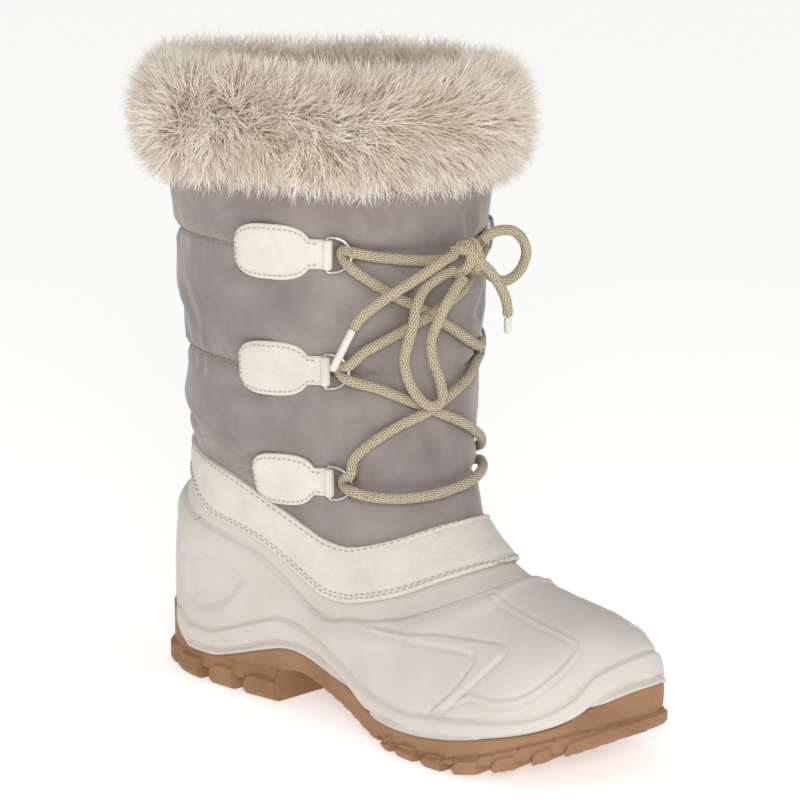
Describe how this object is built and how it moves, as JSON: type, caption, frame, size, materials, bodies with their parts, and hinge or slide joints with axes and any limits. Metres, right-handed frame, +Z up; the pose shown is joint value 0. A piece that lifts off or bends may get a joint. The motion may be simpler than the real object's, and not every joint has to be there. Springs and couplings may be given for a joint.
{
  "type": "snow boot",
  "caption": "Right snow boot with a moulded foot, padded textile shaft, deep fur collar, lugged rubber outsole and a lace tied through D-rings.",
  "frame": {"origin": "on the floor under the middle of the boot's length and width", "axes": "+X towards the toe, +Z up, -Y towards the outer side of the right foot"},
  "size_m": [0.289, 0.1788, 0.313],
  "materials": {
    "gum_rubber": "matt moulded gum rubber",
    "foot_moulding": "satin moulded rubber, fine grain",
    "shaft_textile": "padded nylon with a dull sheen",
    "band_leather": "coated leather, stitched",
    "insole_felt": "felted lining",
    "fur_pile": "deep soft pile",
    "tab_leather": "coated leather, stitched",
    "ring_metal": "polished wire",
    "lace_cord": "round braided cord with a metallic fleck",
    "aglet_plastic": "smooth sleeve"
  },
  "bodies": {
    "root": {"outsole": "gum_rubber", "upper_shell": "foot_moulding", "upper_shaft": "shaft_textile", "ankle_band": "band_leather", "insole": "insole_felt", "fur_collar": "fur_pile", "tab_top_lateral": "tab_leather", "d_ring_top_lateral": "ring_metal", "tab_top_medial": "tab_leather", "d_ring_top_medial": "ring_metal", "tab_middle_lateral": "tab_leather", "d_ring_middle_lateral": "ring_metal", "tab_middle_medial": "tab_leather", "d_ring_middle_medial": "ring_metal", "tab_bottom_lateral": "tab_leather", "d_ring_bottom_lateral": "ring_metal", "tab_bottom_medial": "tab_leather", "d_ring_bottom_medial": "ring_metal", "lace_bar_bottom": "lace_cord", "lace_crossing_lower": "lace_cord", "lace_crossing_upper": "lace_cord", "lace_bar_top_lateral": "lace_cord", "lace_bar_top_medial": "lace_cord", "lace_knot": "lace_cord", "lace_loop_medial": "lace_cord", "lace_loop_hanging": "lace_cord", "lace_end_lateral": "lace_cord", "lace_end_medial": "lace_cord", "aglet_lateral": "aglet_plastic", "aglet_medial": "aglet_plastic"}
  },
  "joints": []
}
